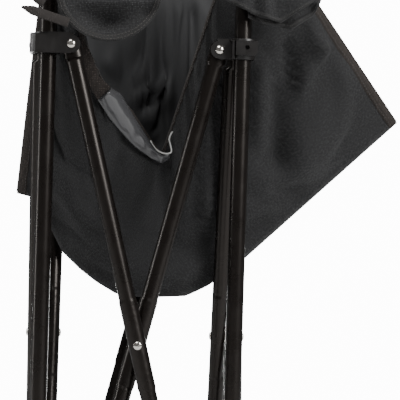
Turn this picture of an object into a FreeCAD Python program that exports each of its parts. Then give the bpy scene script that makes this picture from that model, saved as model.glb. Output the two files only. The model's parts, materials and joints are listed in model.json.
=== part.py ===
"""Folding four-post stand with a hanging cloth bag, drawn part-folded.

Four upright posts stand at the corners of a square. Each side of the square is a pair of
crossed legs, riveted where they cross. The lower end of each leg turns on a rivet in a foot
and its upper end turns on a rivet in a collar that slides on a post. The bag hangs from the
tops of the posts. Millimetres, +Z up, the origin under the front left post on the floor.
"""
import FreeCAD, Part
import math
import os
import sys

import Sketcher

V = FreeCAD.Vector
Turn = FreeCAD.Rotation

SIZES = {
    "post_dia": 16.0,          # the posts, and the legs where they are round
    "tube_wall": 1.0,
    "leg_length": 580.0,       # between a leg's two end rivets
    "fold_angle": 14.0,        # of each leg from the upright, in degrees, as drawn
    "ear_reach": 22.0,         # from a post's axis to the rivet in an ear
    "foot_pivot": 25.0,        # height of the lower rivets
    "post_top": 726.0,
    "press_width": 18.4,       # the legs are pressed oval at their end rivets
    "press_depth": 12.6,
    "middle_width": 17.2,      # and less so where they cross
    "middle_depth": 14.8,
    "press_half": 42.0,        # half the length of the pressed middle
    "press_end": 13.0,
    "press_step": 3.0,
    "end_round": 9.3,
    "end_spare": 2.0,          # what the loft runs past each rounded end before it is trimmed
    "layer_gap": 0.1,          # from the middle plane of a side to each leg
    "ear_gap": 0.1,            # from a leg to the ear or rivet head beside it
    "rivet_dia": 5.0,
    "rivet_play": 0.05,
    "rivet_head": 8.6,
    "head_rise": 2.3,
    "cross_head": 8.0,         # the rivets where the legs cross have lower heads
    "cross_rise": 1.5,
    "washer_dia": 11.0,        # two spacers on each, between the legs
    "washer_thick": 1.1,
    "washer_gap": 0.05,
    "ear_thick": 4.0,
    "ear_round": 8.5,
    "collar_dia": 23.0,
    "collar_below": 9.0,
    "collar_above": 8.5,
    "collar_play": 0.3,
    "lip_dia": 27.0,
    "lip_thick": 2.0,
    "lip_over_ear": 2.0,       # how far the lip runs past the rivet
    "front_panel": 4.5,        # how far an outer collar's flat front runs past the post's axis
    "front_corner": 20.0,      # radius that takes off its outer corner
    "boss_face": 15.0,         # from the post's axis to the front of the boss plate
    "boss_deep": 7.0,
    "boss_right": 12.9,
    "boss_left": 7.7,
    "boss_below": 5.3,
    "boss_above": 8.5,
    "boss_corner": 4.0,
    "boss_hole": 4.2,
    "boss_hole_deep": 5.6,
    "boss_hole_right": 3.1,
    "boss_hole_up": 2.2,
    "rib_near": 8.6,
    "rib_far": 10.8,
    "rib_face": 13.0,
    "foot_dia": 24.0,
    "foot_tall": 38.0,
    "foot_floor": 6.0,
    "pad_dia": 31.0,
    "cap_dia": 20.0,
    "cap_rim": 3.0,
    "cap_dome": 7.0,
    "cap_stem": 16.0,
    "cap_play": 0.05,
    "loop_dia": 22.0,
    "loop_tall": 26.0,
    "loop_play": 0.1,
    "loop_drop": 1.0,          # from the cap down to the loop
    "cloth_top": 733.0,
    "cloth_thick": 3.0,
    "cloth_cut": 560.0,        # height where the corner panels meet the middle of the bag
    "cloth_gap": 0.2,          # between the solids either side of that height
    "cloth_lap": 0.5,          # how far the front and back halves reach past each other
    "cloth_clear": 0.05,       # between the cloth and the corner loops
    "hem_in": 17.0,            # from the middle of the bag to its front and back hems
    "bag_low": 352.0,
    "front_hem": 483.0,        # lowest point of the front hem
    "back_hem": 656.0,         # lowest point of the back hem
    "right_reach": 171.0,      # how far the right flap stands out from the right posts
    "right_hem": 524.0,
    "left_reach": 26.0,
    "left_hem": 452.0,
    "flap_left": 6.0,
    "flap_wide": 100.0,
    "flap_top": 735.0,
    "flap_low": 588.0,
    "flap_front": 24.0,
    "flap_thick": 3.0,
    "tab_wide": 8.0,
    "tab_low": 701.0,
    "tab_tall": 22.0,
    "strap_left": 24.7,
    "strap_low": 615.5,
    "strap_long": 44.4,
    "strap_wide": 8.0,
    "strap_thick": 1.3,
    "strap_slope": 16.9,       # in degrees, falling to the right
}

doc = FreeCAD.newDocument("stand")
sheet = doc.addObject("Spreadsheet::Sheet", "Sizes")
for row, (alias, number) in enumerate(SIZES.items(), start=1):
    sheet.set(f"A{row}", alias)
    sheet.set(f"B{row}", str(number))
    sheet.setAlias(f"B{row}", alias)
doc.recompute()

size = {alias: float(sheet.get(alias)) for alias in SIZES}
parts = {}

FOLD = math.radians(size["fold_angle"])
LEG_RUN = size["leg_length"] * math.sin(FOLD)
LEG_RISE = size["leg_length"] * math.cos(FOLD)
SPACING = LEG_RUN + 2 * size["ear_reach"]
COLLAR_PIVOT = size["foot_pivot"] + LEG_RISE
CORNERS = ("front_left", "front_right", "back_right", "back_left")
SIDES = ("front", "right", "back", "left")
POSTS = (V(0, 0, 0), V(SPACING, 0, 0), V(SPACING, SPACING, 0), V(0, SPACING, 0))
TO_Y = Turn(V(1, 0, 0), -90)       # turns +Z to +Y
TO_X = Turn(V(0, 1, 0), 90)        # turns +Z to +X
ROOM = 1000.0                      # more than the stand's length each way


def text(expression):
    """Write the sheet's aliases out in full inside an expression."""
    words = []
    for word in expression.split():
        words.append("Sizes." + word if word in SIZES else word)
    return " ".join(words)


def bind(item, **expressions):
    for name, expression in expressions.items():
        item.setExpression(name, text(expression))
    return item


def place(item, base=("0", "0", "0"), turn=None):
    """Put a primitive where three expressions say, turned as asked."""
    if turn is not None:
        item.Placement = FreeCAD.Placement(V(), turn)
    for letter, expression in zip("xyz", base):
        if expression != "0":
            item.setExpression(".Placement.Base." + letter, text(expression))
    return item


def cylinder(radius, height, base=("0", "0", "0"), turn=None):
    item = bind(doc.addObject("Part::Cylinder", "Round"), Radius=radius, Height=height)
    return place(item, base, turn)


def block(length, width, height, base=("0", "0", "0")):
    item = bind(doc.addObject("Part::Box", "Block"), Length=length, Width=width, Height=height)
    return place(item, base)


def dome(radius, rise, base, turn):
    """Half an ellipsoid, its flat side at base, rising along the turned Z axis."""
    item = doc.addObject("Part::Ellipsoid", "Dome")
    bind(item, Radius1=rise, Radius2=radius, Radius3=radius)
    item.Angle1 = 0
    return place(item, base, turn)


def fuse(*items):
    item = doc.addObject("Part::MultiFuse", "Joined")
    item.Shapes = list(items)
    return item


def cut(base, *tools):
    item = doc.addObject("Part::Cut", "Cut")
    item.Base = base
    item.Tool = tools[0] if len(tools) == 1 else fuse(*tools)
    return item


def common(one, other):
    item = doc.addObject("Part::Common", "Common")
    item.Base = one
    item.Tool = other
    return item


def keep(item, node, corner=0, base=None, turn=None):
    """Name a finished sub-part and put it at its corner, a quarter turn on from the last."""
    item.Label = node
    quarter = Turn(V(0, 0, 1), 90 * corner)
    where = POSTS[corner] if base is None else base
    item.Placement = FreeCAD.Placement(where, quarter if turn is None else quarter * turn)
    parts[node] = item


def origin_plane(body, role):
    return next(item for item in body.Origin.OriginFeatures if item.Role == role)


# ---- legs ---------------------------------------------------------------------------------


def oval(height, shrink, place_on_leg):
    """One cross-section of a leg. Its end is pressed towards the middle plane of the side and
    its middle is pressed away from it, so that the outside stays in line where the legs cross."""
    if place_on_leg == "round":
        item = doc.addObject("Part::Circle", "Ring")
        bind(item, Radius=f"post_dia / 2 - {shrink}")
        return place(item, ("0", "- layer_gap - post_dia / 2", height))
    item = doc.addObject("Part::Ellipse", "Oval")
    if place_on_leg == "end":
        bind(item, MajorRadius=f"press_width / 2 - {shrink}", MinorRadius=f"press_depth / 2 - {shrink}")
        return place(item, ("0", "- layer_gap - press_depth / 2", height))
    bind(item, MajorRadius=f"middle_width / 2 - {shrink}", MinorRadius=f"middle_depth / 2 - {shrink}")
    return place(item, ("0", "- layer_gap - post_dia + middle_depth / 2", height))


def leg_skin(shrink):
    """Loft through round and pressed sections from one end of a leg to the other."""
    middle = "leg_length / 2"
    stations = [
        ("0 - end_round - end_spare", "end"),
        ("press_end", "end"),
        ("press_end + press_step", "round"),
        (f"{middle} - press_half - press_step", "round"),
        (f"{middle} - press_half", "middle"),
        (f"{middle} + press_half", "middle"),
        (f"{middle} + press_half + press_step", "round"),
        ("leg_length - press_end - press_step", "round"),
        ("leg_length - press_end", "end"),
        ("leg_length + end_round + end_spare", "end"),
    ]
    item = doc.addObject("Part::Loft", "Skin")
    item.Sections = [oval(height, shrink, part) for height, part in stations]
    item.Solid = True
    item.Ruled = True
    return item


def leg_envelope():
    """A strap shape that rounds both ends of a leg about its end rivets."""
    deep = "3 * post_dia"
    side = "0 - 2 * post_dia"
    strap = block("2 * end_round", deep, "leg_length", ("0 - end_round", side, "0"))
    low = cylinder("end_round", deep, ("0", side, "0"), TO_Y)
    high = cylinder("end_round", deep, ("0", side, "leg_length"), TO_Y)
    return fuse(strap, low, high)


def leg(node, side, base, lean, inner):
    """One pressed tube. Its own axis is Z, from the lower rivet to the upper one."""
    tube = cut(leg_skin("0"), leg_skin("tube_wall"))
    rounded = common(tube, leg_envelope())
    holes = []
    for height in ("0", "leg_length / 2", "leg_length"):
        where = ("0", "0 - 2 * post_dia", height)
        holes.append(cylinder("rivet_dia / 2 + rivet_play", "3 * post_dia", where, TO_Y))
    drilled = cut(rounded, *holes)
    tilt = Turn(V(0, 1, 0), lean)
    if inner:
        tilt = tilt * Turn(V(0, 0, 1), 180)
    keep(drilled, node, side, base, tilt)


def make_legs():
    low = size["foot_pivot"]
    reach = size["ear_reach"]
    angle = size["fold_angle"]
    for side, name in enumerate(SIDES):
        start = POSTS[side]
        along = Turn(V(0, 0, 1), 90 * side).multVec(V(1, 0, 0))
        near = start + along * reach + V(0, 0, low)
        far = start + along * (SPACING - reach) + V(0, 0, low)
        even = side % 2 == 0
        leg(f"leg_{name}_outer", side, far if even else near, -angle if even else angle, False)
        leg(f"leg_{name}_inner", side, near if even else far, angle if even else -angle, True)


# ---- rivets -------------------------------------------------------------------------------


def rivet(centre, start, end, turn, axis, head_dia="rivet_head", rise="head_rise"):
    """A rivet on a line through centre, its shank from start to end and a dome on each end.

    start and end are expressions along the given axis; turn carries +Z to that axis.
    """
    def at(expression):
        spot = list(centre)
        spot["xyz".index(axis)] = expression
        return tuple(spot)

    back = Turn(V(1, 0, 0), 90) if axis == "y" else Turn(V(0, 1, 0), -90)
    shank = cylinder("rivet_dia / 2", f"{end} - ( {start} )", at(start), turn)
    head = dome(f"{head_dia} / 2", rise, at(start), back)
    tail = dome(f"{head_dia} / 2", rise, at(end), turn)
    return fuse(shank, head, tail)


def ear_rivets(node, corner, height, start, end):
    """The two rivets of one collar or foot, one for each of its ears.

    start and end are where each shank's outer and inner ends stand, inward from the side.
    """
    one = rivet(("ear_reach", "0", height), start, end, TO_Y, "y")
    two = rivet(("0", "ear_reach", height), start, end, TO_X, "x")
    pair = doc.addObject("Part::Compound", "Pair")
    pair.Links = [one, two]
    keep(pair, node, corner)


def crossing_rivet(side, name):
    """The rivet where the legs of one side cross, and the two spacer washers between them."""
    half = SPACING / 2
    middle = size["foot_pivot"] + LEG_RISE / 2
    along = Turn(V(0, 0, 1), 90 * side).multVec(V(1, 0, 0))
    where = POSTS[side] + along * half + V(0, 0, middle)
    grip = "layer_gap + post_dia + ear_gap"
    shank = rivet(("0", "0", "0"), f"0 - ( {grip} )", grip, TO_Y, "y", "cross_head", "cross_rise")
    keep(shank, f"crossing_rivet_{name}", side, where)
    seat = "layer_gap + post_dia - middle_depth - washer_gap"
    rings = []
    for start in (f"0 - ( {seat} )", f"{seat} - washer_thick"):
        disc = cylinder("washer_dia / 2", "washer_thick", ("0", start, "0"), TO_Y)
        hole = cylinder("rivet_dia / 2", "3 * washer_thick", ("0", f"{start} - washer_thick", "0"), TO_Y)
        rings.append(cut(disc, hole))
    pair = doc.addObject("Part::Compound", "Rings")
    pair.Links = rings
    keep(pair, f"crossing_washers_{name}", side, where)


# ---- collars and feet ---------------------------------------------------------------------


def ear(face, height, below, along_x):
    """A plate from the ring to the rivet. face is its outer face, outward from the post."""
    top = "ear_round"
    if along_x:
        plate = block("ear_reach", "ear_thick", f"{below} + {top}",
                      ("0", f"0 - ( {face} )", f"{height} - ( {below} )"))
        tip = cylinder("ear_round", "ear_thick", ("ear_reach", f"0 - ( {face} )", height), TO_Y)
    else:
        plate = block("ear_thick", "ear_reach", f"{below} + {top}",
                      (f"0 - ( {face} )", "0", f"{height} - ( {below} )"))
        tip = cylinder("ear_round", "ear_thick", (f"0 - ( {face} )", "ear_reach", height), TO_X)
    return fuse(plate, tip)


def ear_holes(height):
    span = "4 * post_dia"
    one = cylinder("rivet_dia / 2", span, ("ear_reach", "0 - 2 * post_dia", height), TO_Y)
    two = cylinder("rivet_dia / 2", span, ("0 - 2 * post_dia", "ear_reach", height), TO_X)
    return one, two


def front_panel(face, tall, low):
    """The flat front and side of an outer collar, with the corner between them rounded."""
    wide = "collar_dia / 2 + front_panel"
    edge = "0 - collar_dia / 2"
    outside = f"0 - ( {face} )"
    front = block(wide, face, tall, (edge, outside, low))
    side = block(face, wide, tall, (outside, edge, low))
    corner = common(block(face, face, tall, (outside, outside, low)),
                    cylinder("front_corner", tall, ("0", "0", low)))
    return front, side, corner


def boss():
    """The plate with a screw hole on the outside of an inner collar, and the rib beside it."""
    wide = "boss_right + boss_left"
    tall = "boss_below + boss_above"
    outside = "0 - boss_face"
    right = "0 - boss_right"
    low = "0 - boss_below"
    upper = block("boss_deep", wide, f"{tall} - boss_corner", (outside, right, f"{low} + boss_corner"))
    lower = block("boss_deep", f"{wide} - boss_corner", tall, (outside, f"{right} + boss_corner", low))
    middle = (outside, f"{right} + boss_corner", f"{low} + boss_corner")
    rounded = cylinder("boss_corner", "boss_deep", middle, TO_X)
    rib = block("rib_face", "rib_far - rib_near", "collar_below + collar_above",
                ("0 - rib_face", "rib_near", "0 - collar_below"))
    return upper, lower, rounded, rib


def collar(node, corner, outer):
    """A sliding collar. An outer one carries its ears outside the legs' outer layer."""
    face = "layer_gap + press_depth + ear_gap + ear_thick" if outer else "ear_thick"
    tall = "collar_below + collar_above"
    low = "0 - collar_below"
    over = "ear_reach + lip_over_ear"
    solids = [
        cylinder("collar_dia / 2", tall, ("0", "0", low)),
        cylinder("lip_dia / 2", "lip_thick", ("0", "0", "collar_above")),
        block(over, "ear_thick", "lip_thick", ("0", f"0 - ( {face} )", "collar_above")),
        block("ear_thick", over, "lip_thick", (f"0 - ( {face} )", "0", "collar_above")),
        ear(face, "0", "collar_below", True),
        ear(face, "0", "collar_below", False),
    ]
    solids.extend(front_panel(face, tall, low) if outer else boss())
    cuts = [cylinder("post_dia / 2 + collar_play", "3 * collar_dia", ("0", "0", "0 - collar_dia"))]
    cuts.extend(ear_holes("0"))
    if not outer:
        mouth = ("0 - boss_face", "0 - boss_hole_right", "boss_hole_up")
        cuts.append(cylinder("boss_hole / 2", "boss_hole_deep", mouth, TO_X))
    body = cut(fuse(*solids), *cuts)
    keep(body, node, corner, POSTS[corner] + V(0, 0, COLLAR_PIVOT))


def foot(node, corner, outer):
    """A moulded foot: a broad pad, a socket for the post and two ears."""
    face = "0" if outer else "ear_thick"
    solids = [
        cylinder("pad_dia / 2", "foot_floor"),
        cylinder("foot_dia / 2", "foot_tall"),
        ear(face, "foot_pivot", "ear_round", True),
        ear(face, "foot_pivot", "ear_round", False),
    ]
    socket = cylinder("post_dia / 2", "foot_tall", ("0", "0", "foot_floor"))
    body = cut(fuse(*solids), socket, *ear_holes("foot_pivot"))
    keep(body, node, corner)


# ---- posts, caps and loops ----------------------------------------------------------------


def post(node, corner):
    body = doc.addObject("PartDesign::Body", "PostBody")
    sketch = body.newObject("Sketcher::SketchObject", "PostSection")
    sketch.AttachmentSupport = (origin_plane(body, "XY_Plane"), [""])
    sketch.MapMode = "FlatFace"
    outer = size["post_dia"] / 2
    for radius in (outer, outer - size["tube_wall"]):
        edge = sketch.addGeometry(Part.Circle(V(), V(0, 0, 1), radius))
        sketch.addConstraint(Sketcher.Constraint("Coincident", edge, 3, -1, 1))
        sketch.addConstraint(Sketcher.Constraint("Radius", edge, radius))
    doc.recompute()
    sketch.setExpression("Constraints[1]", text("post_dia / 2"))
    sketch.setExpression("Constraints[3]", text("post_dia / 2 - tube_wall"))
    pad = body.newObject("PartDesign::Pad", "Tube")
    pad.Profile = sketch
    pad.setExpression("Length", text("post_top - foot_floor"))
    keep(body, node, corner, POSTS[corner] + V(0, 0, size["foot_floor"]))


def cap(node, corner):
    stem = cylinder("post_dia / 2 - tube_wall - cap_play", "cap_stem", ("0", "0", "0 - cap_stem"))
    rim = cylinder("cap_dia / 2", "cap_rim")
    top = dome("cap_dia / 2", "cap_dome", ("0", "0", "cap_rim"), Turn())
    keep(fuse(stem, rim, top), node, corner, POSTS[corner] + V(0, 0, size["post_top"]))


def loop(node, corner):
    """The webbing sleeve that holds a corner of the bag under the cap."""
    sleeve = cylinder("loop_dia / 2", "loop_tall", ("0", "0", "0 - loop_tall"))
    hollow = cylinder("post_dia / 2 + loop_play", "3 * loop_tall", ("0", "0", "0 - 2 * loop_tall"))
    top = size["post_top"] - size["loop_drop"]
    keep(cut(sleeve, hollow), node, corner, POSTS[corner] + V(0, 0, top))


# ---- cloth --------------------------------------------------------------------------------


def prism(points, thick):
    """A flat panel of cloth between three corners, given its thickness along Y."""
    wire = Part.makePolygon(list(points) + [points[0]])
    return Part.Face(wire).extrude(V(0, thick, 0))


def bag_points():
    """The places that the square of cloth hangs through: posts, hem middles and lowest point."""
    half = SPACING / 2
    front_y = half - size["hem_in"]
    tops = [post_at + V(0, 0, size["cloth_top"]) for post_at in POSTS]
    front = V(half, front_y, size["front_hem"])
    back = V(half, SPACING - front_y, size["back_hem"])
    right = V(SPACING + size["right_reach"], half, size["right_hem"])
    left = V(-size["left_reach"], half, size["left_hem"])
    low = V(half, half, size["bag_low"])
    return tops, front, right, back, left, low


def quarter(top, one, two, low, thick):
    """A quarter of the bag: two panels that meet on the line from the post to the lowest point."""
    overlap = V(0, -math.copysign(size["cloth_lap"], thick), 0)
    moved = [point + overlap for point in (one, two, low)]
    near = prism((top, moved[0], moved[2]), thick)
    far = prism((top, moved[1], moved[2]), thick)
    return near.fuse(far)


def slab(low):
    """A block far wider than the bag, from height low up, for cutting the cloth across."""
    return Part.makeBox(2 * ROOM, 2 * ROOM, ROOM, V(-ROOM, -ROOM, low))


def make_cloth():
    tops, front, right, back, left, low = bag_points()
    thick = size["cloth_thick"]
    quarters = [
        quarter(tops[0], front, left, low, -thick),
        quarter(tops[1], front, right, low, -thick),
        quarter(tops[2], back, right, low, thick),
        quarter(tops[3], back, left, low, thick),
    ]
    gap = size["cloth_gap"]
    upper = slab(size["cloth_cut"] + gap)
    lower = slab(size["cloth_cut"] - gap - ROOM)
    radius = size["loop_dia"] / 2 + size["cloth_clear"]
    for index, panel in enumerate(quarters):
        clear = Part.makeCylinder(radius, ROOM, POSTS[index])
        piece = doc.addObject("Part::Feature", "Panel")
        piece.Shape = panel.common(upper).cut(clear).removeSplitter()
        piece.Label = "cloth_corner_" + CORNERS[index]
        piece.Placement = FreeCAD.Placement()
        parts[piece.Label] = piece
    whole = quarters[0].multiFuse(quarters[1:]).common(lower)
    centre = doc.addObject("Part::Feature", "Pouch")
    centre.Shape = whole.removeSplitter()
    centre.Label = "bag_centre"
    centre.Placement = FreeCAD.Placement()
    parts["bag_centre"] = centre


def make_flap():
    """The tongue-shaped flap in front of the bag, and the tab between it and its corner loop."""
    radius = "flap_wide / 2"
    side = "0 - flap_front"
    middle = f"flap_low + {radius}"
    plate = block("flap_wide", "flap_thick", f"flap_top - ( {middle} )", ("flap_left", side, middle))
    tongue = cylinder(radius, "flap_thick", (f"flap_left + {radius}", side, middle), TO_Y)
    tab = block("tab_wide", "flap_front - flap_thick", "tab_tall", ("0", f"{side} + flap_thick", "tab_low"))
    clear = cylinder("loop_dia / 2", "3 * loop_tall", ("0", "0", "tab_low - loop_tall"))
    keep(fuse(plate, tongue), "round_flap")
    keep(cut(tab, clear), "flap_tab")


def make_strap():
    """The flat strap in front of the front left post that the flap is tied with."""
    band = block("strap_long", "strap_thick", "strap_wide")
    top_down = "0 - flap_front + flap_thick"
    slope = Turn(V(0, 1, 0), size["strap_slope"])
    keep(band, "tie_strap", 0, V(), slope)
    place(band, ("0 - strap_left", top_down, "strap_low"))


def main():
    make_legs()
    for side, name in enumerate(SIDES):
        crossing_rivet(side, name)
    for corner, name in enumerate(CORNERS):
        outer = corner % 2 == 0
        clear_of_leg = "layer_gap + press_depth + ear_gap"
        outer_collar = (f"0 - ( {clear_of_leg} + ear_thick )", "0")
        outer_foot = (f"0 - ( {clear_of_leg} )", "ear_thick")
        inner_ear = ("0 - ear_thick", clear_of_leg)
        collar_span = outer_collar if outer else inner_ear
        foot_span = inner_ear if outer else outer_foot
        ear_rivets(f"collar_rivets_{name}", corner, str(COLLAR_PIVOT), *collar_span)
        ear_rivets(f"foot_rivets_{name}", corner, "foot_pivot", *foot_span)
        post(f"post_{name}", corner)
        foot(f"foot_{name}", corner, not outer)
        cap(f"cap_{name}", corner)
        loop(f"corner_loop_{name}", corner)
        collar(f"collar_{name}", corner, outer)
    make_cloth()
    make_flap()
    make_strap()


def check_and_write():
    """Stop if anything failed, then write each sub-part to its own file."""
    failed = [item.Name for item in doc.Objects if "Invalid" in item.State or "Error" in item.State]
    if failed:
        sys.exit("failed to build: " + ", ".join(failed))
    for node, item in parts.items():
        if item.Shape.isNull() or not item.Shape.isValid():
            sys.exit("no valid shape: " + node)
    os.makedirs("parts", exist_ok=True)
    for node, item in parts.items():
        item.Shape.exportStep(f"parts/{node}.step")
        print(node, len(item.Shape.Solids), round(item.Shape.Volume, 1))


main()
doc.recompute()
check_and_write()
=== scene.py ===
"""Looks for the folding four-post stand with a hanging cloth bag. Metres, in the CAD's frame."""
import json
import math

import bpy
import numpy as np
from mathutils import Matrix


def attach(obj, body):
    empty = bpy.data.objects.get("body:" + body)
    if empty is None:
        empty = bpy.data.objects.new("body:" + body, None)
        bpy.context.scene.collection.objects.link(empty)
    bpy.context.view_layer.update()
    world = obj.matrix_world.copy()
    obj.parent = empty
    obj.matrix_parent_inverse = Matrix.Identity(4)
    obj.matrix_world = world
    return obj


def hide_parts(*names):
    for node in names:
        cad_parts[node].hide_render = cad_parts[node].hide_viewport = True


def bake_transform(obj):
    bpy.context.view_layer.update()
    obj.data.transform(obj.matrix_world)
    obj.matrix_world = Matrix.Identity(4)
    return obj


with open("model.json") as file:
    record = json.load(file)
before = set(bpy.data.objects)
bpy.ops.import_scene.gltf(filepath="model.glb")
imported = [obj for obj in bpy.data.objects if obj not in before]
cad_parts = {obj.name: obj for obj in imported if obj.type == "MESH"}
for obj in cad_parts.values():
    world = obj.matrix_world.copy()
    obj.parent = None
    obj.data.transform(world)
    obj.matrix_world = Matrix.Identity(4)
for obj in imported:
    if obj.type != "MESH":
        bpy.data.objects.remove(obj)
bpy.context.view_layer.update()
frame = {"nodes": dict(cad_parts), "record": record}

# Between the axes of neighbouring posts, and the height of the posts' tops.
SPACING = 0.184315
HALF = SPACING / 2
TOP = 0.733
CORNER_NAMES = ("front_left", "front_right", "back_right", "back_left")
SIGN = {"left": -1.0, "right": 1.0, "front": -1.0, "back": 1.0}

# ---- small helpers --------------------------------------------------------------------------


def lerp(one, other, share):
    return one + (other - one) * share


def smooth(share):
    """Rise from 0 to 1 with level ends."""
    share = np.clip(share, 0.0, 1.0)
    return share * share * (3 - 2 * share)


def along(points, share):
    """The place at a share of a line's length, for a line through the given points."""
    points = np.array(points, float)
    steps = np.linalg.norm(np.diff(points, axis=0), axis=1)
    reached = np.concatenate(([0.0], np.cumsum(steps))) / steps.sum()
    return np.stack([np.interp(share, reached, points[:, axis]) for axis in range(3)], axis=-1)


def link(data, name):
    thing = bpy.data.objects.new(name, data)
    bpy.context.scene.collection.objects.link(thing)
    return thing


def grid_mesh(name, points, flat=None):
    """A smooth-shaded sheet from rows of points, its UV map in metres from flat if given."""
    rows, columns = points.shape[:2]
    mesh = bpy.data.meshes.new(name)
    index = np.arange(rows * columns).reshape(rows, columns)
    faces = np.stack([index[:-1, :-1], index[:-1, 1:], index[1:, 1:], index[1:, :-1]], axis=-1)
    mesh.from_pydata(points.reshape(-1, 3).tolist(), [], faces.reshape(-1, 4).tolist())
    mesh.shade_smooth()
    if flat is not None:
        layer = mesh.uv_layers.new(name="flat")
        corners = values_of(mesh.loops, "vertex_index", 1, int)
        layer.data.foreach_set("uv", flat.reshape(-1, 2)[corners].ravel())
    return mesh


def values_of(collection, attribute, width, kind=float):
    """An attribute of all of a mesh's corners, faces or vertices as one flat array."""
    values = np.zeros(len(collection) * width, kind)
    collection.foreach_get(attribute, values)
    return values


def apply_modifiers(thing):
    """Turn what the modifiers show into the object's own mesh."""
    shown = thing.evaluated_get(bpy.context.evaluated_depsgraph_get())
    mesh = bpy.data.meshes.new_from_object(shown)
    thing.modifiers.clear()
    thing.data = mesh
    return thing


# ---- camera, floor and lights -----------------------------------------------------------------


LENS_MM = 140.3
SENSOR_MM = 36.0
EYE = (0.0561, -1.4787, 0.4655)
YAW, PITCH, ROLL = -3.55, -0.8, -1.7
WORLD_STRENGTH = 0.13
BACKDROP_STRENGTH = 13.0
# Name, place, width, height and power of each softbox; all point at the middle of the stand.
SOFTBOXES = [
    ("left_softbox", (-1.9, 0.2, 0.9), 0.16, 1.8, 16),
    ("right_softbox", (1.8, -1.7, 1.5), 1.1, 1.3, 58),
    ("top_softbox", (-0.4, -1.1, 2.3), 0.9, 0.9, 30),
]


def make_camera():
    data = bpy.data.cameras.new("camera")
    data.sensor_width = SENSOR_MM
    data.lens = LENS_MM
    camera = link(data, "camera")
    yaw = Matrix.Rotation(math.radians(YAW), 4, "Z")
    pitch = Matrix.Rotation(math.radians(PITCH), 4, "X")
    roll = Matrix.Rotation(math.radians(ROLL), 4, "Y")
    level = Matrix.Rotation(math.radians(90), 4, "X")
    camera.matrix_world = Matrix.Translation(EYE) @ yaw @ pitch @ roll @ level
    bpy.context.scene.camera = camera


def area_light(name, place, aim, width, height, power):
    data = bpy.data.lights.new(name, "AREA")
    data.shape = "RECTANGLE"
    data.size = width
    data.size_y = height
    data.energy = power
    lamp = link(data, name)
    lamp.location = place
    direction = Matrix.Translation(aim).translation - lamp.location
    lamp.rotation_euler = direction.to_track_quat("-Z", "Y").to_euler()


def flat_board(name, centre, width, tall, upright):
    """A plain rectangle, standing across the view if upright, else lying level."""
    wide = np.array((width / 2, 0, 0))
    high = np.array((0, 0, tall / 2)) if upright else np.array((0, tall / 2, 0))
    centre = np.array(centre)
    rows = np.array([[centre + sx * wide + sy * high for sx in (-1, 1)] for sy in (-1, 1)])
    return link(grid_mesh(name, rows), name)


def make_studio():
    world = bpy.data.worlds.new("studio")
    world.use_nodes = True
    background = world.node_tree.nodes["Background"]
    background.inputs["Color"].default_value = (1, 1, 1, 1)
    background.inputs["Strength"].default_value = WORLD_STRENGTH
    bpy.context.scene.world = world
    floor = flat_board("floor", (0.1, 0.0, -0.0005), 3.4, 3.0, False)
    floor.data.materials.append(new_material("floor_white", (0.85, 0.85, 0.85), 0.9)[0])
    backdrop = flat_board("backdrop", (0.46, 5.0, 0.35), 2.3, 2.2, True)
    glow, shader = new_material("backdrop_white", (1, 1, 1), 0.9)
    shader.inputs["Emission Color"].default_value = (1, 1, 1, 1)
    shader.inputs["Emission Strength"].default_value = BACKDROP_STRENGTH
    backdrop.data.materials.append(glow)
    for name, place, width, height, power in SOFTBOXES:
        area_light(name, place, (HALF, HALF, 0.5), width, height, power)


# ---- materials --------------------------------------------------------------------------------

# Of a plain material: colour, roughness, scale of its mottle, roughness from and to, more constants.
PLAIN = {
    "tube_enamel": ((0.0055, 0.0042, 0.0036), 0.2, 60.0, 0.24, 0.34,
                    {"Specular_IOR_Level": 0.4, "Specular_Tint": (1.0, 0.92, 0.86, 1.0)}),
    "rivet_nickel": ((0.82, 0.78, 0.72), 0.16, 500.0, 0.1, 0.26, {"Metallic": 1.0}),
    "moulded_plastic": ((0.008, 0.0068, 0.0062), 0.3, 150.0, 0.32, 0.42, {"Specular_IOR_Level": 0.6}),
    "thread": ((0.05, 0.044, 0.04), 0.6, 900.0, 0.52, 0.68, {"Sheen_Weight": 0.2}),
    "piping": ((0.6, 0.6, 0.58), 0.5, 900.0, 0.42, 0.58, {}),
}
# Scale and strength of the fine grain that two of them have, and its depth in metres.
GRAIN = {"tube_enamel": (420.0, 0.008), "moulded_plastic": (900.0, 0.12)}
GRAIN_DEPTH = 0.0003
# Of a weave: colour of its threads, colour where they catch the light, thread's width, roughness.
WEAVES = {
    "woven_cloth": ((0.0085, 0.0085, 0.0088), (0.09, 0.09, 0.093), 0.0011, 0.8),
    "flap_cloth": ((0.007, 0.007, 0.0072), (0.11, 0.11, 0.114), 0.0014, 0.8),
    "webbing": ((0.02, 0.016, 0.014), (0.06, 0.05, 0.045), 0.0016, 0.8),
    "binding": ((0.015, 0.0105, 0.008), (0.1, 0.074, 0.058), 0.0012, 0.75),
    "patch": ((0.014, 0.01, 0.008), (0.09, 0.07, 0.06), 0.0022, 0.9),
    "flap_rim": ((0.009, 0.0088, 0.0086), (0.06, 0.058, 0.056), 0.0016, 0.7),
}
WEAVE_DEPTH = 0.0009
# Of a coated cloth: colour, roughness, scale and strength of its unevenness, weight of its gloss.
COATINGS = {
    "coated_lining": ((0.022, 0.0222, 0.023), 0.74, 90.0, 0.2, 0.0),
    "glossy_facing": ((0.062, 0.062, 0.065), 0.22, 400.0, 0.03, 1.0),
}
COAT_DEPTH = 0.0006
COAT_MOTTLE = 0.06


def new_material(name, colour, roughness, **constants):
    """A material and its shader, with the shader's named constants set."""
    material = bpy.data.materials.new(name)
    material.use_nodes = True
    shader = material.node_tree.nodes["Principled BSDF"]
    shader.inputs["Base Color"].default_value = (*colour, 1)
    shader.inputs["Roughness"].default_value = roughness
    for socket, value in constants.items():
        shader.inputs[socket.replace("_", " ")].default_value = value
    return material, shader


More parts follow.
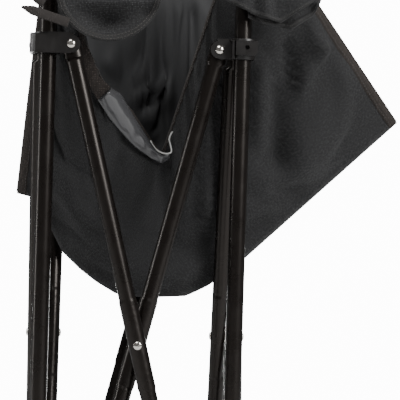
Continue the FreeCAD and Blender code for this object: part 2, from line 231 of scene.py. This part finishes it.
def add_node(material, kind, **settings):
    node = material.node_tree.nodes.new(kind)
    for name, value in settings.items():
        if name in node.inputs:
            node.inputs[name].default_value = value
        else:
            setattr(node, name, value)
    return node


def join(material, out, into):
    material.node_tree.links.new(out, into)


def position_of(material, uv):
    """Coordinates in metres: those of the flat cloth if uv, else the object's own."""
    node = add_node(material, "ShaderNodeTexCoord")
    return node.outputs["UV" if uv else "Object"]


def mottle(material, shader, where, scale, low, high):
    """Vary the shader's roughness between low and high with noise."""
    noise = add_node(material, "ShaderNodeTexNoise", Scale=scale, Detail=4.0)
    spread = add_node(material, "ShaderNodeMapRange")
    spread.inputs["From Min"].default_value = 0.3
    spread.inputs["From Max"].default_value = 0.7
    spread.inputs["To Min"].default_value = low
    spread.inputs["To Max"].default_value = high
    join(material, where, noise.inputs["Vector"])
    join(material, noise.outputs["Fac"], spread.inputs["Value"])
    join(material, spread.outputs["Result"], shader.inputs["Roughness"])


def relief(material, shader, height, strength, depth):
    """Let a height make the surface uneven, up to a depth in metres."""
    bump = add_node(material, "ShaderNodeBump", Strength=strength, Distance=depth)
    join(material, height, bump.inputs["Height"])
    join(material, bump.outputs["Normal"], shader.inputs["Normal"])


def weave_height(material, where, thread):
    """Height of a plain weave with threads this wide: over and under in both directions."""
    waves = []
    for direction in ("X", "Y"):
        wave = add_node(material, "ShaderNodeTexWave", Scale=math.pi / 10 / thread, Distortion=0.6)
        wave.bands_direction = direction
        wave.inputs["Detail"].default_value = 2.0
        wave.inputs["Detail Scale"].default_value = 1.5
        join(material, where, wave.inputs["Vector"])
        waves.append(wave.outputs["Fac"])
    mixed = add_node(material, "ShaderNodeMath", operation="MULTIPLY")
    join(material, waves[0], mixed.inputs[0])
    join(material, waves[1], mixed.inputs[1])
    return mixed.outputs["Value"]


def woven(name, dark, light, thread, roughness, uv):
    """A coarse black weave with paler flecks where threads catch the light."""
    material, shader = new_material(name, dark, roughness, Sheen_Weight=0.1, Sheen_Roughness=0.4)
    where = position_of(material, uv)
    height = weave_height(material, where, thread)
    fleck = add_node(material, "ShaderNodeTexNoise", Scale=520.0, Detail=4.0)
    join(material, where, fleck.inputs["Vector"])
    contrast = add_node(material, "ShaderNodeMapRange")
    contrast.inputs["From Min"].default_value = 0.42
    contrast.inputs["From Max"].default_value = 0.66
    join(material, fleck.outputs["Fac"], contrast.inputs["Value"])
    amount = add_node(material, "ShaderNodeMath", operation="MULTIPLY")
    join(material, height, amount.inputs[0])
    join(material, contrast.outputs["Result"], amount.inputs[1])
    tint = add_node(material, "ShaderNodeMix", data_type="RGBA")
    for socket in tint.inputs:
        if socket.type == "RGBA" and socket.name in ("A", "B"):
            socket.default_value = (*(dark if socket.name == "A" else light), 1)
    join(material, amount.outputs["Value"], tint.inputs["Factor"])
    result = next(out for out in tint.outputs if out.type == "RGBA")
    join(material, result, shader.inputs["Base Color"])
    relief(material, shader, amount.outputs["Value"], 0.9, WEAVE_DEPTH)
    return material


def coated(name, colour, roughness, scale, bump, shine):
    """A smooth coated cloth with faint unevenness."""
    material, shader = new_material(name, colour, roughness, Coat_Weight=shine, Coat_Roughness=0.18)
    where = position_of(material, True)
    noise = add_node(material, "ShaderNodeTexNoise", Scale=scale, Detail=5.0)
    join(material, where, noise.inputs["Vector"])
    relief(material, shader, noise.outputs["Fac"], bump, COAT_DEPTH)
    mottle(material, shader, where, 14.0, roughness - COAT_MOTTLE, roughness + COAT_MOTTLE)
    return material


def make_materials():
    made = {}
    for name, (colour, roughness, scale, low, high, constants) in PLAIN.items():
        made[name], shader = new_material(name, colour, roughness, **constants)
        where = position_of(made[name], False)
        mottle(made[name], shader, where, scale, low, high)
        if name in GRAIN:
            grain_scale, strength = GRAIN[name]
            grain = add_node(made[name], "ShaderNodeTexNoise", Scale=grain_scale, Detail=2.0)
            join(made[name], where, grain.inputs["Vector"])
            relief(made[name], shader, grain.outputs["Fac"], strength, GRAIN_DEPTH)
    for name, weave in WEAVES.items():
        made[name] = woven(name, *weave, uv=name != "webbing")
    for name, coating in COATINGS.items():
        made[name] = coated(name, *coating)
    return made


EDGE_ROUNDING = 0.0005
EDGE_ANGLE = 50
WELD_WITHIN = 0.00002


def dress_frame():
    """Give every CAD node its slot's material, and the collars and feet softened edges."""
    slot_of = {row["node"]: row["material_slot"] for row in frame["record"]["subparts"]}
    for name, thing in frame["nodes"].items():
        thing.data.materials.clear()
        thing.data.materials.append(MATERIALS[slot_of[name]])
        if name.startswith(("collar_front", "collar_back", "foot_front", "foot_back")):
            weld = thing.modifiers.new("weld", "WELD")
            weld.merge_threshold = WELD_WITHIN
            bevel = thing.modifiers.new("soft_edges", "BEVEL")
            bevel.width = EDGE_ROUNDING
            bevel.segments = 2
            bevel.limit_method = "ANGLE"
            bevel.angle_limit = math.radians(EDGE_ANGLE)


# ---- the bag ------------------------------------------------------------------------------------

# The lowest point of the bag.
LOW = np.array((0.115, HALF, 0.345))
TOPS = {
    ("left", "front"): np.array((0.0, 0.0, TOP)),
    ("right", "front"): np.array((SPACING, 0.0, TOP)),
    ("right", "back"): np.array((SPACING, SPACING, TOP)),
    ("left", "back"): np.array((0.0, SPACING, TOP)),
}
# Lower edge of the bag, from its lowest point out to the tip of each side flap.
LOW_LEFT = [LOW, (0.089, HALF, 0.345), (0.071, HALF, 0.3475), (0.051, HALF, 0.359), (0.035, HALF, 0.371),
            (0.0166, HALF, 0.388), (-0.011, HALF, 0.441), (-0.0304, HALF, 0.4455)]
LOW_RIGHT = [LOW, (0.142, HALF, 0.3465), (0.162, HALF, 0.3565), (0.1845, HALF, 0.3715), (0.204, HALF, 0.3895),
             (0.3515, HALF, 0.528)]
# Up the middle of the front and back panels, from the lowest point to the hem.
MID_FRONT = [LOW, (0.115, 0.076, 0.39), (0.114, 0.068, 0.44), (0.113, 0.074, 0.488)]
MID_BACK = [LOW, (0.112, 0.115, 0.42), (0.105, 0.128, 0.52), (0.1, 0.14, 0.6), (0.098, 0.146, 0.656)]
# The front hem's left half, from its middle up to the post.
HEM_LEFT = [MID_FRONT[-1], (0.101, 0.066, 0.503), (0.081, 0.052, 0.531), (0.06, 0.038, 0.55),
            (0.049, 0.029, 0.558), (0.043, 0.022, 0.572), (0.038, 0.016, 0.584), (0.03, 0.01, 0.5945),
            (0.0, 0.0, TOP)]
# Steps across the sheet each way, and the shares of the way out where its hem begins and has its middle.
GRID = 96
HEM_SHARE = 0.968
HEM_MIDDLE = 0.984
# The sheet is held from this share outward while it settles, and firmly from where its hem begins.
HELD_FROM = 0.9
# Side of one flat quarter, and the thickness of the bag's cloth.
FLAT_HALF = 0.285
BAG_THICK = 0.0012
SETTLE_FRAMES = 40
# How much deeper than listed the folds are pressed in.
FOLD_DEPTH = 1.6
INSIDE = np.linspace(-HEM_SHARE, HEM_SHARE, GRID - 3)
LINE = np.concatenate(([-1.0, -HEM_MIDDLE], INSIDE, [HEM_MIDDLE, 1.0]))
ACROSS, DEEP = np.meshgrid(LINE, LINE)
# Folds pressed into the cloth: half, start (x, z), end (x, z), width, height outward.
FOLDS = [
    ("front", (0.209, 0.597), (0.2185, 0.572), 0.003, -0.005),
    ("front", (0.232, 0.6), (0.236, 0.552), 0.006, -0.008),
    ("front", (0.257, 0.628), (0.262, 0.6), 0.008, 0.007),
    ("front", (0.262, 0.6), (0.236, 0.555), 0.011, 0.009),
    ("front", (0.205, 0.575), (0.207, 0.51), 0.01, 0.009),
    ("front", (0.22, 0.56), (0.228, 0.495), 0.011, -0.008),
    ("front", (0.3, 0.59), (0.25, 0.49), 0.02, 0.006),
    ("front", (0.205, 0.52), (0.25, 0.45), 0.017, -0.006),
    ("front", (0.152, 0.556), (0.158, 0.44), 0.006, 0.005),
    ("front", (0.168, 0.56), (0.172, 0.46), 0.005, -0.005),
    ("front", (0.181, 0.56), (0.16, 0.42), 0.006, 0.0045),
    ("front", (0.06, 0.53), (0.045, 0.43), 0.014, 0.005),
    ("front", (0.09, 0.47), (0.075, 0.38), 0.016, 0.005),
    ("front", (0.12, 0.46), (0.13, 0.38), 0.014, -0.005),
    ("back", (0.06, 0.585), (0.125, 0.556), 0.014, -0.006),
    ("back", (0.085, 0.553), (0.122, 0.567), 0.003, -0.004),
    ("back", (0.095, 0.545), (0.118, 0.556), 0.003, 0.004),
    ("back", (0.108, 0.53), (0.112, 0.556), 0.003, -0.003),
    ("back", (0.05, 0.545), (0.105, 0.505), 0.018, 0.009),
    ("back", (0.13, 0.64), (0.122, 0.48), 0.007, -0.004),
    ("back", (0.145, 0.64), (0.138, 0.48), 0.006, 0.004),
    ("back", (0.075, 0.65), (0.09, 0.59), 0.008, 0.003),
]


def bag_point(a, b):
    """Where the square sheet's point (a, b) hangs; a runs left to right, b front to back, -1 to 1."""
    side = "left" if a < 0 else "right"
    half = "front" if b < 0 else "back"
    top = TOPS[(side, half)]
    out = abs(a)
    deep = abs(b)
    edge = LOW_LEFT if side == "left" else LOW_RIGHT
    middle = MID_FRONT if half == "front" else MID_BACK
    if deep <= out:
        share = deep / out if out else 0.0
        return lerp(along(edge, out), lerp(LOW, top, out), share)
    share = out / deep
    spot = lerp(along(middle, deep), lerp(LOW, top, deep), share)
    if (side, half) == ("left", "front"):
        straight = lerp(np.array(MID_FRONT[-1]), top, share)
        spot = spot + (along(HEM_LEFT, share) - straight) * deep ** 3
    return spot


def inward(points):
    """Unit normals of the hanging sheet, pointing into the bag."""
    side = np.gradient(points, axis=1)
    down = np.gradient(points, axis=0)
    normal = np.cross(side, down)
    return normal / np.maximum(np.linalg.norm(normal, axis=-1, keepdims=True), 1e-9)


def relax(points, rounds):
    """Round the creases off, with the hems and the lower edge held."""
    held = (np.abs(ACROSS) > 0.999) | (np.abs(DEEP) > 0.999) | (np.abs(DEEP) < 0.001)
    for _ in range(rounds):
        around = points.copy()
        around[1:-1, 1:-1] = (points[:-2, 1:-1] + points[2:, 1:-1] + points[1:-1, :-2] + points[1:-1, 2:]) / 4
        points = np.where(held[..., None], points, lerp(points, around, 0.8))
    return points


def press_folds(points):
    """Push each fold out of the sheet, fading to nothing at the hems and the lower edge."""
    normal = inward(points)
    hem_fade = smooth((1 - np.maximum(np.abs(ACROSS), np.abs(DEEP))) / 0.06)
    fade = hem_fade * smooth(np.abs(DEEP) / 0.08)
    moved = points.copy()
    for half, start, end, width, height in FOLDS:
        start = np.array(start)
        run = np.array(end) - start
        place = points[..., (0, 2)] - start
        share = np.clip(place @ run / (run @ run), 0, 1)
        away = np.linalg.norm(place - share[..., None] * run, axis=-1)
        here = (DEEP < 0) if half == "front" else (DEEP > 0)
        hill = np.exp(-(away / width) ** 2) * here * fade * height * FOLD_DEPTH
        moved -= normal * hill[..., None]
    return moved


def grid_weights():
    """How firmly each point of the sheet is held while it settles."""
    edge = np.maximum(np.abs(ACROSS), np.abs(DEEP))
    firm = smooth((edge - HELD_FROM) / (HEM_SHARE - HELD_FROM))
    return np.maximum(firm, 1 - smooth(np.abs(DEEP) / 0.05))


def settle(points):
    """Let the cloth sag and wrinkle between its hems and folds, and return where it comes to rest."""
    bag = link(grid_mesh("settling", points), "settling")
    group = bag.vertex_groups.new(name="held")
    for index, weight in enumerate(grid_weights().ravel().tolist()):
        group.add([index], weight, "REPLACE")
    cloth = bag.modifiers.new("cloth", "CLOTH")
    cloth.settings.quality = 8
    cloth.settings.mass = 0.15
    cloth.settings.tension_stiffness = 20
    cloth.settings.compression_stiffness = 20
    cloth.settings.shear_stiffness = 10
    cloth.settings.bending_stiffness = 3.0
    cloth.settings.air_damping = 2
    cloth.settings.vertex_group_mass = "held"
    cloth.settings.shrink_min = -0.02
    cloth.settings.shrink_max = -0.02
    cloth.collision_settings.use_self_collision = False
    cloth.point_cache.frame_start = 1
    cloth.point_cache.frame_end = SETTLE_FRAMES
    for frame_number in range(1, SETTLE_FRAMES + 1):
        bpy.context.scene.frame_set(frame_number)
    shown = bag.evaluated_get(bpy.context.evaluated_depsgraph_get())
    rested = values_of(shown.data.vertices, "co", 3)
    bpy.context.scene.frame_set(1)
    bpy.data.objects.remove(bag)
    return rested.reshape(points.shape)


def on_grid(field, a, b):
    """A value of a grid of points, or of their normals, at the sheet's point (a, b)."""
    column = np.interp(a, LINE, np.arange(len(LINE)))
    row = np.interp(b, LINE, np.arange(len(LINE)))
    left = np.minimum(column.astype(int), len(LINE) - 2)
    low = np.minimum(row.astype(int), len(LINE) - 2)
    right = (column - left)[..., None]
    up = (row - low)[..., None]
    one = lerp(field[low, left], field[low, left + 1], right)
    two = lerp(field[low + 1, left], field[low + 1, left + 1], right)
    return lerp(one, two, up)


def blend_corner(piece):
    """Bake a piece of cloth's placement into its own mesh."""
    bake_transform(piece)


def take_part(whole, keep, name):
    """A closed piece from the two-layered sheet's faces that keep says, with its smooth normals."""
    normals = values_of(whole.corner_normals, "vector", 3).reshape(-1, 12)
    material_of = values_of(whole.polygons, "material_index", 1, int)
    uv = values_of(whole.uv_layers["flat"].data, "uv", 2).reshape(-1, 8)
    places = values_of(whole.vertices, "co", 3).reshape(-1, 3)
    faces = values_of(whole.loops, "vertex_index", 1, int).reshape(-1, 4)[keep]
    edges = np.stack([faces, np.roll(faces, -1, axis=1)], axis=-1).reshape(-1, 2)
    ways = {tuple(edge) for edge in edges.tolist()}
    layer = len(whole.vertices) // 2
    cut = [edge for edge in sorted(ways) if edge[::-1] not in ways and max(edge) < layer]
    sides = np.array([(after, before, before + layer, after + layer) for before, after in cut])
    faces = np.concatenate([faces, sides])
    used, renumbered = np.unique(faces, return_inverse=True)
    mesh = bpy.data.meshes.new(name)
    mesh.from_pydata(places[used].tolist(), [], renumbered.reshape(-1, 4).tolist())
    mesh.shade_smooth()
    for material in whole.materials:
        mesh.materials.append(material)
    mesh.polygons.foreach_set("material_index", np.append(material_of[keep], [0] * len(cut)).astype(np.int32))
    corners = np.concatenate([uv[keep].ravel(), np.zeros(len(cut) * 8)])
    mesh.uv_layers.new(name="flat").data.foreach_set("uv", corners)
    smooth_normals = np.concatenate([normals[keep].ravel(), np.zeros(len(cut) * 12)])
    mesh.normals_split_custom_set(smooth_normals.reshape(-1, 3).tolist())
    return link(mesh, name)


def on_sheet(points, normals, hem, share, inset, lift):
    """Places near a hem of the bag: an inset in from its edge and a lift off the cloth."""

    def spot(field, depth):
        edge = SIGN[hem] * (1 - depth)
        a, b = (share, edge) if hem in ("front", "back") else (edge, share)
        return on_grid(field, a, b)

    step = np.full_like(share, 1 - HEM_SHARE)
    rim = spot(points, 0 * step)
    inner = spot(points, step) - rim
    reach = np.linalg.norm(inner, axis=-1)
    depth = np.maximum(inset, 0) * step / reach
    beyond = np.minimum(inset, 0) / reach
    return spot(points, depth) + inner * beyond[..., None] + spot(normals, depth) * lift[..., None]


# Binding tape: its width once folded, and how far its stitches stand off the middle of the cloth.
HEM_BAND = 0.010
STITCH_LIFT = 0.0019
STITCH_PITCH = 0.0034
STITCH_LONG = 0.0024
THREAD_RADIUS = 0.00035
THREAD_SIDES = 6
# Along a stitch, as shares: how far from its middle, and how thick it is there.
STITCH_SHAPE = [(-0.5, 0.4), (-0.25, 1.0), (0.25, 1.0), (0.5, 0.4)]
# Across a binding folded over an edge: share of its width inward, and lift off the cloth.
BOUND = [(1.0, 0.0003), (0.93, 0.0014), (0.5, 0.0016), (0.1, 0.0015), (-0.08, 0.0), (0.1, -0.0015),
         (0.5, -0.0016), (0.93, -0.0014), (1.0, -0.0003)]
# The rolled facing and the rough patch on the left side of the front opening, in (x, z).
FACING_TOP = [(0.0602, 0.5504), (0.07, 0.5452), (0.0852, 0.522), (0.0999, 0.5015), (0.106, 0.494),
              (0.1135, 0.4886), (0.1212, 0.4902)]
FACING_BASE = [(0.0482, 0.5374), (0.0605, 0.5195), (0.0791, 0.4998), (0.09, 0.4905), (0.1018, 0.4832),
               (0.1125, 0.4785), (0.123, 0.484)]
PATCH_TOP = [(0.0285, 0.597), (0.037, 0.587), (0.043, 0.575), (0.049, 0.56), (0.0602, 0.5504)]
PATCH_BASE = [(0.0275, 0.594), (0.0315, 0.578), (0.036, 0.56), (0.0415, 0.547), (0.0482, 0.5374)]


def front_y(points, x, z):
    """How far back the front of the bag is at (x, z)."""
    front = points[DEEP <= 0]
    away = (front[:, 0] - x[..., None]) ** 2 + (front[:, 2] - z[..., None]) ** 2
    near = np.argsort(away, axis=-1)[..., :4]
    weight = 1 / (np.take_along_axis(away, near, -1) + 1e-7)
    return (front[near, 1] * weight).sum(axis=-1) / weight.sum(axis=-1)


def band(name, points, top, base, swell, material):
    """A padded band on the front of the bag between two lines, swelling towards the front."""
    top, base = [np.array([(x, 0.0, z) for x, z in line]) for line in (top, base)]
    shares = np.linspace(0, 1, 90)
    across = np.linspace(0, 1, 17)[:, None, None]
    plain = lerp(along(top, shares), along(base, shares), across)
    cloth = front_y(points, plain[..., 0], plain[..., 2])
    straight = [np.polyval(np.polyfit(shares, row, 1), shares) for row in cloth]
    depth = lerp(np.min(straight, axis=0), np.array(straight), 0.35) - 0.004
    ends = smooth(np.minimum(shares, 1 - shares) / 0.03 + 0.15)
    rise = swell * np.sin(math.pi * across[..., 0] ** 0.6) ** 0.8 * ends
    ripple = 0.0004 * np.sin(shares * 31) * np.sin(math.pi * across[..., 0])
    front = plain.copy()
    front[..., 1] = depth - 0.0012 - rise - ripple
    back = plain[::-1].copy()
    back[..., 1] = depth[::-1] + 0.006
    grid = np.concatenate([front, back, front[:1]])
    piece = link(grid_mesh(name, grid, grid[..., (0, 2)]), name)
    piece.data.materials.append(MATERIALS[material])
    return piece


def ribbon(name, place, shares, width, profile, material):
    """A tape wrapped over an edge: profile is a list of (share of the width inward, lift)."""
    rows = [place(shares, inset * width, np.full_like(shares, lift)) for inset, lift in profile]
    grid = np.stack(rows)
    run = np.cumsum(np.linalg.norm(np.diff(grid[0], axis=0, prepend=grid[0][:1]), axis=-1))
    over = np.linspace(0, 2, len(profile))[:, None] * np.broadcast_to(width, grid.shape[1:2])
    flat = np.stack([np.broadcast_to(run, grid.shape[:2]), over], axis=-1)
    piece = link(grid_mesh(name, grid, flat), name)
    piece.data.materials.append(MATERIALS[material])
    return piece


def stitch_row(place, start, end, inset, lift):
    """Middle, direction and outward direction of each stitch of a row."""
    fine = np.linspace(start, end, 400)
    inset_there = np.full_like(fine, inset)
    line = place(fine, inset_there, np.full_like(fine, lift))
    above = place(fine, inset_there, np.full_like(fine, 2 * lift))
    reached = np.concatenate(([0.0], np.cumsum(np.linalg.norm(np.diff(line, axis=0), axis=1))))
    spots = np.arange(STITCH_PITCH, reached[-1] - STITCH_PITCH, STITCH_PITCH)
    centre, out, ahead = [np.stack([np.interp(spots, reached, value[:, axis]) for axis in range(3)], axis=-1)
                          for value in (line, above - line, np.gradient(line, axis=0))]
    ahead, out = [value / np.linalg.norm(value, axis=1, keepdims=True) for value in (ahead, out)]
    return centre, ahead, out


def stitches(name, rows):
    """One mesh of small rounded threads, one for each stitch."""
    centre, ahead, out = [np.concatenate(values) for values in zip(*rows)]
    side = np.cross(ahead, out)
    turn = np.arange(THREAD_SIDES) * math.pi * 2 / THREAD_SIDES
    around = out[:, None] * np.cos(turn)[None, :, None] + side[:, None] * np.sin(turn)[None, :, None]
    places = []
    for station, share in STITCH_SHAPE:
        middle = centre[:, None] + ahead[:, None] * station * STITCH_LONG
        places.append(middle + around * THREAD_RADIUS * share)
    places = np.stack(places, axis=1).reshape(-1, 3)
    ring = np.arange(len(STITCH_SHAPE) - 1)[None, :, None] * THREAD_SIDES
    first = np.arange(len(centre))[:, None, None] * THREAD_SIDES * len(STITCH_SHAPE) + ring
    corner = np.arange(THREAD_SIDES)[None, None, :]
    after = (corner + 1) % THREAD_SIDES
    above = first + THREAD_SIDES
    faces = np.stack([first + corner, first + after, above + after, above + corner], axis=-1)
    mesh = bpy.data.meshes.new(name)
    mesh.from_pydata(places.tolist(), [], faces.reshape(-1, 4).tolist())
    mesh.shade_smooth()
    mesh.materials.append(MATERIALS["thread"])
    return link(mesh, name)


def swept(name, line, radius, material):
    """A round piping along a line of points."""
    curve = bpy.data.curves.new(name, "CURVE")
    curve.dimensions = "3D"
    curve.bevel_depth = radius
    curve.bevel_resolution = 3
    curve.use_fill_caps = True
    spline = curve.splines.new("NURBS")
    spline.points.add(len(line) - 1)
    for point, place in zip(spline.points, line):
        point.co = (*place, 1.0)
    spline.order_u = 3
    spline.use_endpoint_u = True
    curve.materials.append(MATERIALS[material])
    thing = link(curve, name)
    mesh = bpy.data.meshes.new_from_object(thing.evaluated_get(bpy.context.evaluated_depsgraph_get()))
    bpy.data.objects.remove(thing)
    mesh.shade_smooth()
    return link(mesh, name)


# The pale piping, from its left end along the bottom and up beside the opening.
PIPING_RADIUS = 0.0008
PIPING = [(0.1007, 0.056, 0.5012), (0.104, 0.056, 0.4943), (0.1125, 0.056, 0.4888), (0.119, 0.056, 0.4888),
          (0.1222, 0.056, 0.4905), (0.1205, 0.056, 0.4975), (0.1183, 0.056, 0.5047), (0.1222, 0.056, 0.5108)]


def trim_corner(points, normals, corner):
    """The bindings, stitches and facing of one quarter of the bag; returns their objects."""
    half, side = corner.split("_")
    pieces = []
    rows = []
    for hem, other in ((half, side), (side, half)):

        def place(share, inset, lift, hem=hem):
            return on_sheet(points, normals, hem, share, inset, lift)

        start = 0.006 * SIGN[other]
        end = 0.975 * SIGN[other]
        shares = np.linspace(start, end, 150)
        width = np.full_like(shares, HEM_BAND)
        pieces.append(ribbon(f"binding_{hem}_hem_{corner}", place, shares, width, BOUND, "binding"))
        rows += [stitch_row(place, start, end, HEM_BAND * 0.78, lift) for lift in (STITCH_LIFT, -STITCH_LIFT)]
    if corner == "front_left":
        pieces.append(band("hem_facing", points, FACING_TOP, FACING_BASE, 0.007, "glossy_facing"))
        pieces.append(band("hem_patch", points, PATCH_TOP, PATCH_BASE, 0.0012, "patch"))
    pieces.append(stitches("stitches_" + corner, rows))
    for piece in pieces:
        blend_corner(piece)
    return pieces


def make_bag():
    """The bag as one settled sheet, given its thickness and then split into its four quarters."""
    points = np.array([[bag_point(a, b) for a in LINE] for b in LINE])
    points = press_folds(relax(points, 12))
    points = settle(points)
    flat = np.stack([ACROSS, DEEP], axis=-1) * FLAT_HALF
    bag = link(grid_mesh("bag", points, flat), "bag")
    solid = bag.modifiers.new("thickness", "SOLIDIFY")
    solid.thickness = BAG_THICK
    solid.offset = 0.0
    solid.material_offset = 1
    bag.data.materials.append(MATERIALS["coated_lining"])
    bag.data.materials.append(MATERIALS["woven_cloth"])
    apply_modifiers(bag)
    centres = values_of(bag.data.uv_layers["flat"].data, "uv", 2).reshape(-1, 4, 2).mean(axis=1)
    outward = -inward(points)
    for name in CORNER_NAMES:
        right = centres[:, 0] > 0
        back = centres[:, 1] > 0
        keep = (right == ("right" in name)) & (back == ("back" in name))
        piece = take_part(bag.data, keep, "bag_" + name)
        blend_corner(piece)
        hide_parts("cloth_corner_" + name)
        if name == "front_left":
            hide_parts("bag_centre")
        trims = trim_corner(points, outward, name)
    bpy.data.objects.remove(bag)


# ---- loose cloth at the posts -------------------------------------------------------------------

LOOSE_THICK = 0.0013
# The round flap: centre (x, z) and radius of its round end, and length of its straight sides.
FLAP_MIDDLE = (0.056, 0.6405)
FLAP_ROUND = 0.0495
FLAP_STRAIGHT = 0.092
FLAP_RIM = 0.0062
# Where it is gathered towards its loop: the height it starts at, and the loop's own place in x.
GATHER_FROM = 0.652
LOOP_X = 0.017


def flap_line(share):
    """The round flap's U-shaped edge in (x, z), from its top left down and round to its top right."""
    bend = math.pi * FLAP_ROUND
    run = share * (2 * FLAP_STRAIGHT + bend)
    angle = np.clip((run - FLAP_STRAIGHT) / FLAP_ROUND, 0, math.pi)
    x = FLAP_MIDDLE[0] - FLAP_ROUND * np.cos(angle)
    z = FLAP_MIDDLE[1] - FLAP_ROUND * np.sin(angle)
    return x, z + np.maximum(FLAP_STRAIGHT - run, 0) + np.maximum(run - FLAP_STRAIGHT - bend, 0)


def flap_place(share, inset, lift):
    """A place on the round flap's hanging cloth, inset from its edge."""
    x, z = flap_line(share)
    middle_z = np.maximum(z, FLAP_MIDDLE[1])
    toward = np.stack([FLAP_MIDDLE[0] - x, middle_z - z], axis=-1)
    reach = np.linalg.norm(toward, axis=-1)
    x = x + toward[..., 0] * inset / reach
    z = z + toward[..., 1] * inset / reach
    hollow = np.exp(-((x - 0.051) / 0.017) ** 2 - ((z - 0.611) / 0.011) ** 2)
    ridge = np.exp(-((z - 0.627 - 0.06 * (x - 0.065)) / 0.006) ** 2) * smooth((x - 0.02) / 0.03)
    side = np.exp(-((x - 0.09) / 0.009) ** 2) * smooth((z - 0.6) / 0.03)
    top = np.exp(-((x - 0.034 + 0.2 * (z - 0.68)) / 0.01) ** 2) * smooth((z - 0.64) / 0.03)
    y = -0.0225 + 0.013 * hollow - 0.009 * ridge + 0.003 * side - 0.004 * top - lift
    gather = smooth((z - GATHER_FROM) / 0.07)
    x = lerp(x, LOOP_X + (x - FLAP_MIDDLE[0]) * 0.26, gather)
    y = y + 0.004 * gather * np.sin((x - LOOP_X) * 700)
    z = z - 0.012 * gather * smooth((x - LOOP_X) / 0.03)
    return np.stack([x, y, z], axis=-1)


LAYER_TALL = 0.095
LAYER_RIM = 0.005
# Name, lower edge in (x, z), how far back and flat area of each layer of the turned-over corner.
LAYERS = [
    ("turned_corner", [(0.163, 0.634), (0.183, 0.6245), (0.2, 0.6175), (0.218, 0.614), (0.25, 0.636)], -0.021,
     0.0055),
    ("turned_corner_back", [(0.187, 0.618), (0.2, 0.613), (0.2285, 0.6085), (0.2495, 0.6225), (0.256, 0.637)],
     -0.0145, 0.0055),
]


def layer_place(edge, front):
    """The places of one layer of the turned-over corner, above a lower edge in (x, z)."""
    edge = np.array(edge)
    shares_there = np.linspace(0, 1, len(edge))

    def place(share, inset, lift):
        x = np.interp(share, shares_there, edge[:, 0])
        z = np.interp(share, shares_there, edge[:, 1])
        rise = np.clip(inset / LAYER_TALL, -0.05, 1)
        x = lerp(x, SPACING + (x - SPACING) * 0.35, rise)
        z = lerp(z, 0.715 - 0.1 * (share - 0.3) ** 2, rise)
        pleat = np.sin(share * 19 + 1.3 * rise) * (1 - 0.5 * rise)
        y = front + 0.003 * pleat * smooth(share / 0.1) - 0.003 * smooth(rise / 0.2) - lift
        return np.stack([x, y, z], axis=-1)

    return place


def hanging(name, place, deep, material, count=90):
    """A loose piece of cloth from its edge inward, given thickness."""
    shares = np.linspace(0, 1, count)
    flush = np.zeros_like(shares)
    rows = [place(shares, inset * deep(shares), flush) for inset in np.linspace(0, 0.9999, 44)]
    grid = np.stack(rows)
    piece = link(grid_mesh(name, grid, grid[..., (0, 2)]), name)
    weld = piece.modifiers.new("closed_middle", "WELD")
    weld.merge_threshold = 0.0001
    solid = piece.modifiers.new("thickness", "SOLIDIFY")
    solid.thickness = LOOSE_THICK
    solid.offset = 0.0
    piece.data.materials.append(MATERIALS[material])
    apply_modifiers(piece)
    return piece


def make_round_flap():
    """The flap with the round end, its rim and its two rows of stitches."""

    def deep(share):
        x, z = flap_line(share)
        return np.hypot(FLAP_MIDDLE[0] - x, np.maximum(z, FLAP_MIDDLE[1]) - z)

    flap = hanging("round_flap_cloth", flap_place, deep, "flap_cloth", 120)
    shares = np.linspace(0, 1, 160)
    rim = ribbon("round_flap_rim", flap_place, shares, np.full_like(shares, FLAP_RIM), BOUND, "flap_rim")
    lines = [(inset, lift) for inset in (0.0018, 0.0046) for lift in (STITCH_LIFT, -STITCH_LIFT)]
    rows = [stitch_row(flap_place, 0, 1, inset, lift) for inset, lift in lines]
    seam = stitches("round_flap_stitches", rows)
    for piece in (flap, rim, seam):
        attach(piece, "post_front_left")
    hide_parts("round_flap")


def make_corner_layers():
    """The corner of cloth that is turned over in front of the front right post, in two layers."""

    def deep(share):
        return np.full_like(share, LAYER_TALL)

    for name, edge, front, area in LAYERS:
        place = layer_place(edge, front)
        layer = hanging(name, place, deep, "woven_cloth")
        shares = np.linspace(0, 1, 110)
        rim = ribbon(name + "_hem", place, shares, np.full_like(shares, LAYER_RIM), BOUND, "flap_rim")
        for piece in (layer, rim):
            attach(piece, "post_front_right")


def make_blade(name, start, end, tall, y):
    """A strap end with a pointed tip at its start, standing flat to the front."""
    start = np.array((start[0], y, start[1]))
    run = np.array((end[0], y, end[1])) - start
    long = np.linalg.norm(run)
    ahead = run / long
    up = np.array((-ahead[2], 0.0, ahead[0]))
    shares = np.linspace(0, 1, 40)
    across = np.linspace(-1, 1, 13)
    half = tall / 2 * np.minimum(1, (shares * long / 0.011 + 0.02)) ** 0.8
    crown = 0.0006 * (1 - across[:, None] ** 2) + 0.0005 * np.sin(shares * 7)[None, :]
    grid = start + run * shares[None, :, None] + up * across[:, None, None] * half[None, :, None]
    grid = grid - np.array((0.0, 1.0, 0.0)) * crown[..., None]
    blade = link(grid_mesh(name, grid, grid[..., (0, 2)]), name)
    solid = blade.modifiers.new("thickness", "SOLIDIFY")
    solid.thickness = LOOSE_THICK
    solid.offset = 0.0
    blade.data.materials.append(MATERIALS["webbing"])
    apply_modifiers(blade)
    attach(blade, "post_front_left")
    return blade


def make_straps():
    strap = make_blade("pointed_strap", (-0.0245, 0.6193), (0.0195, 0.606), 0.0085, -0.0262)
    make_blade("second_strap", (-0.019, 0.6315), (-0.004, 0.6235), 0.0075, -0.0215)
    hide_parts("tie_strap")


def make_piping():
    """The pale piping that runs along the bottom of the front opening and turns up beside it."""
    piping = swept("front_piping", PIPING, PIPING_RADIUS, "piping")
    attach(piping, "bag_centre")


MATERIALS = make_materials()
make_camera()
make_studio()
dress_frame()
make_bag()
make_round_flap()
make_corner_layers()
make_straps()
make_piping()
